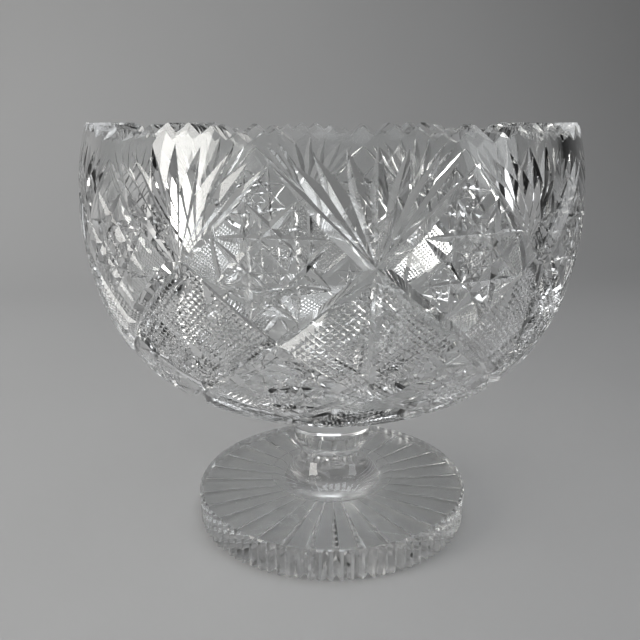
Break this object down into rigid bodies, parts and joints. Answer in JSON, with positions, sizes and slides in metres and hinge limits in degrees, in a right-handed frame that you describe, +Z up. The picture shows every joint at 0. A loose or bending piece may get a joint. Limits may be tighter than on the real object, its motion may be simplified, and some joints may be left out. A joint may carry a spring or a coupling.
{
  "type": "trifle bowl",
  "caption": "Heavy cut-crystal trifle bowl with a toothed rim and a cut wall of stars and fans, on a short stem and a round star-cut foot.",
  "frame": {"origin": "middle of the foot's underside, on the surface that it stands on", "axes": "+Z up along the axis of the bowl, stem and foot; -Y through the middle of one fan of the cut pattern"},
  "size_m": [0.2, 0.199, 0.1721],
  "materials": {
    "crystal_bowl": "clear lead crystal, cut and polished",
    "crystal_stem": "clear lead crystal, fire polished",
    "crystal_foot": "clear lead crystal, cut and polished"
  },
  "bodies": {
    "root": {"bowl": "crystal_bowl", "collar": "crystal_stem", "stem": "crystal_stem", "foot": "crystal_foot"}
  },
  "joints": []
}
